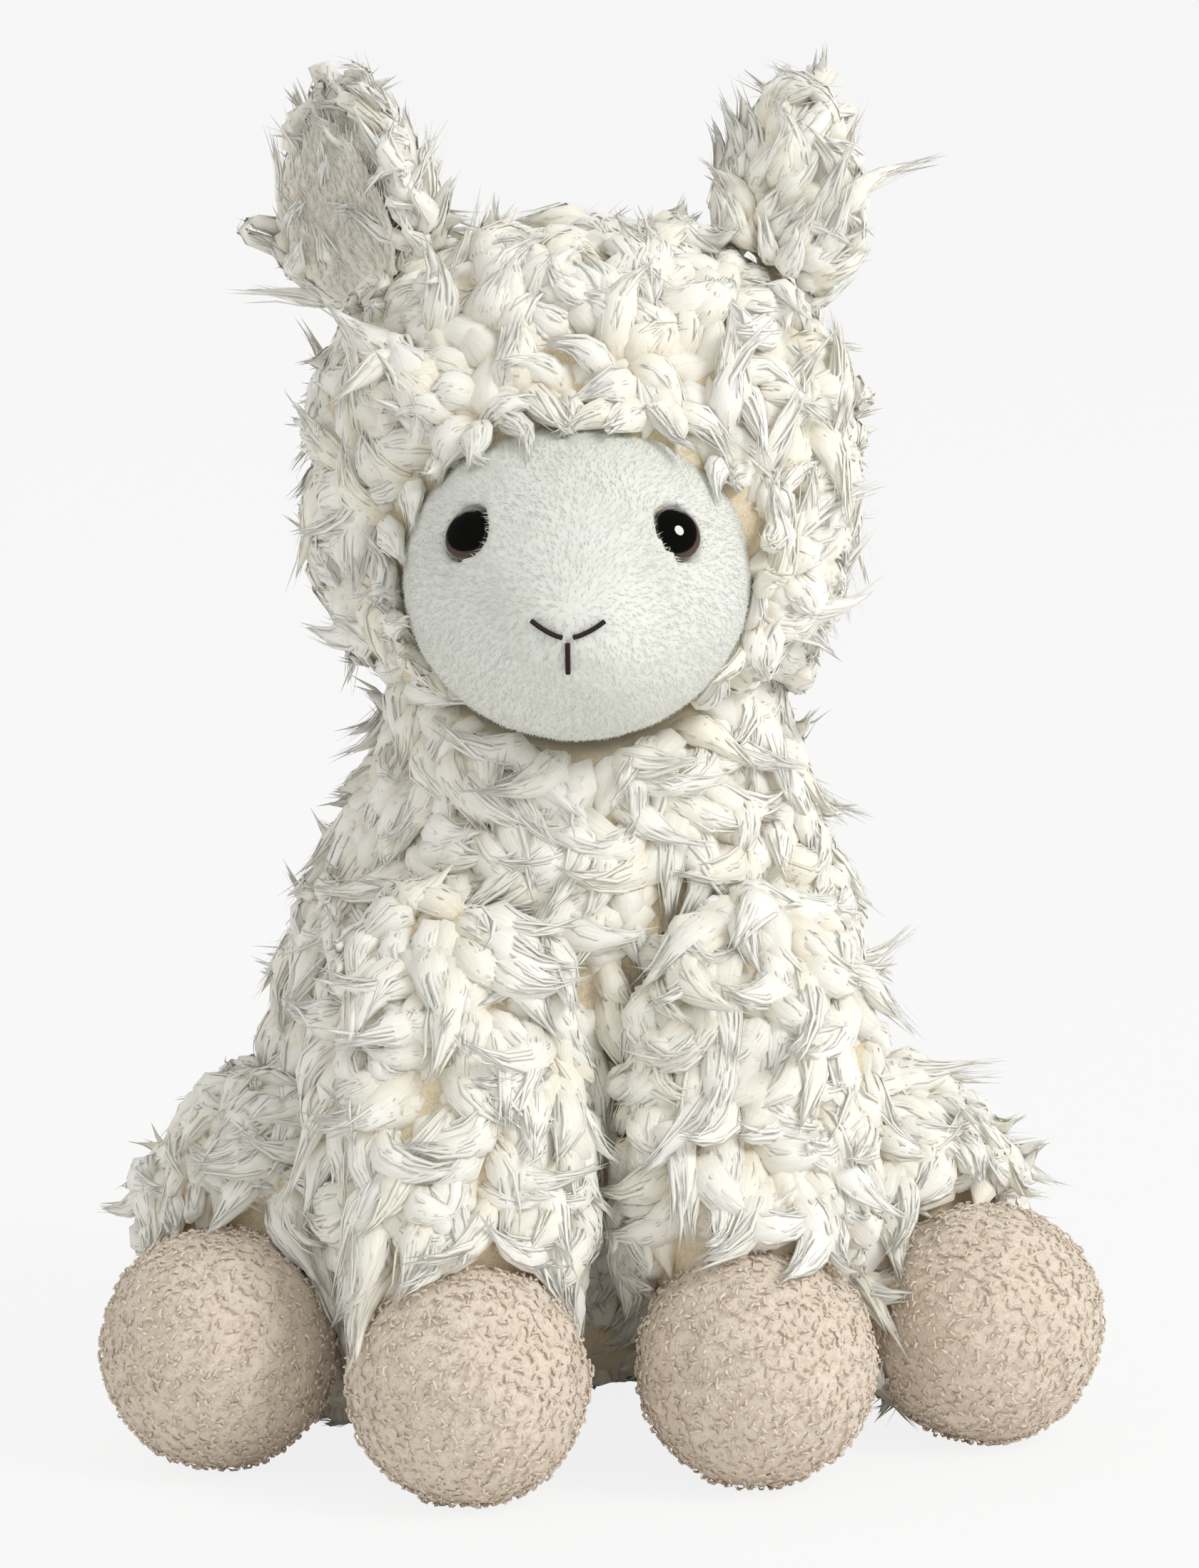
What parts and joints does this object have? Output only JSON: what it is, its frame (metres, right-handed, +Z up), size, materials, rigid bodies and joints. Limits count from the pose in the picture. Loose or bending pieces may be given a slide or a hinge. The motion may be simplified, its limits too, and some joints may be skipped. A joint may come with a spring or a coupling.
{
  "type": "plush llama",
  "caption": "Sitting plush llama with shaggy curly fur, a short-pile face, domed safety eyes, a stitched mouth, upright ears and ball feet.",
  "frame": {"origin": "middle of the toy's bounding box, on the floor that it sits on", "axes": "+Z up; the toy's front looks along -Y; +X to the right of someone who looks at its front"},
  "size_m": [0.2186, 0.1926, 0.2948],
  "materials": {
    "long_plush": "long curly plush pile, cream, matte",
    "short_plush": "short dense plush pile, white, matte",
    "lining_plush": "short plush pile, off-white and pinkish beige",
    "seat_plush": "short brushed pile, greyish",
    "boucle": "curly boucle pile, beige",
    "eye_black": "moulded black plastic, high gloss",
    "nylon": "moulded natural nylon",
    "thread": "twisted embroidery thread, dark brown"
  },
  "bodies": {
    "root": {"torso": "long_plush", "head": "long_plush", "ear_left": "long_plush", "ear_right": "long_plush", "front_leg_left": "long_plush", "front_leg_right": "long_plush", "rear_leg_left": "long_plush", "rear_leg_right": "long_plush", "tail": "long_plush", "face": "short_plush", "ear_lining_left": "lining_plush", "ear_lining_right": "lining_plush", "seat_panel": "seat_plush", "front_foot_left": "boucle", "front_foot_right": "boucle", "rear_foot_left": "boucle", "rear_foot_right": "boucle", "eye_left": "eye_black", "eye_right": "eye_black", "eye_washer_left": "nylon", "eye_washer_right": "nylon", "nose_stitch_left": "thread", "nose_stitch_right": "thread", "mouth_stitch": "thread"}
  },
  "joints": []
}
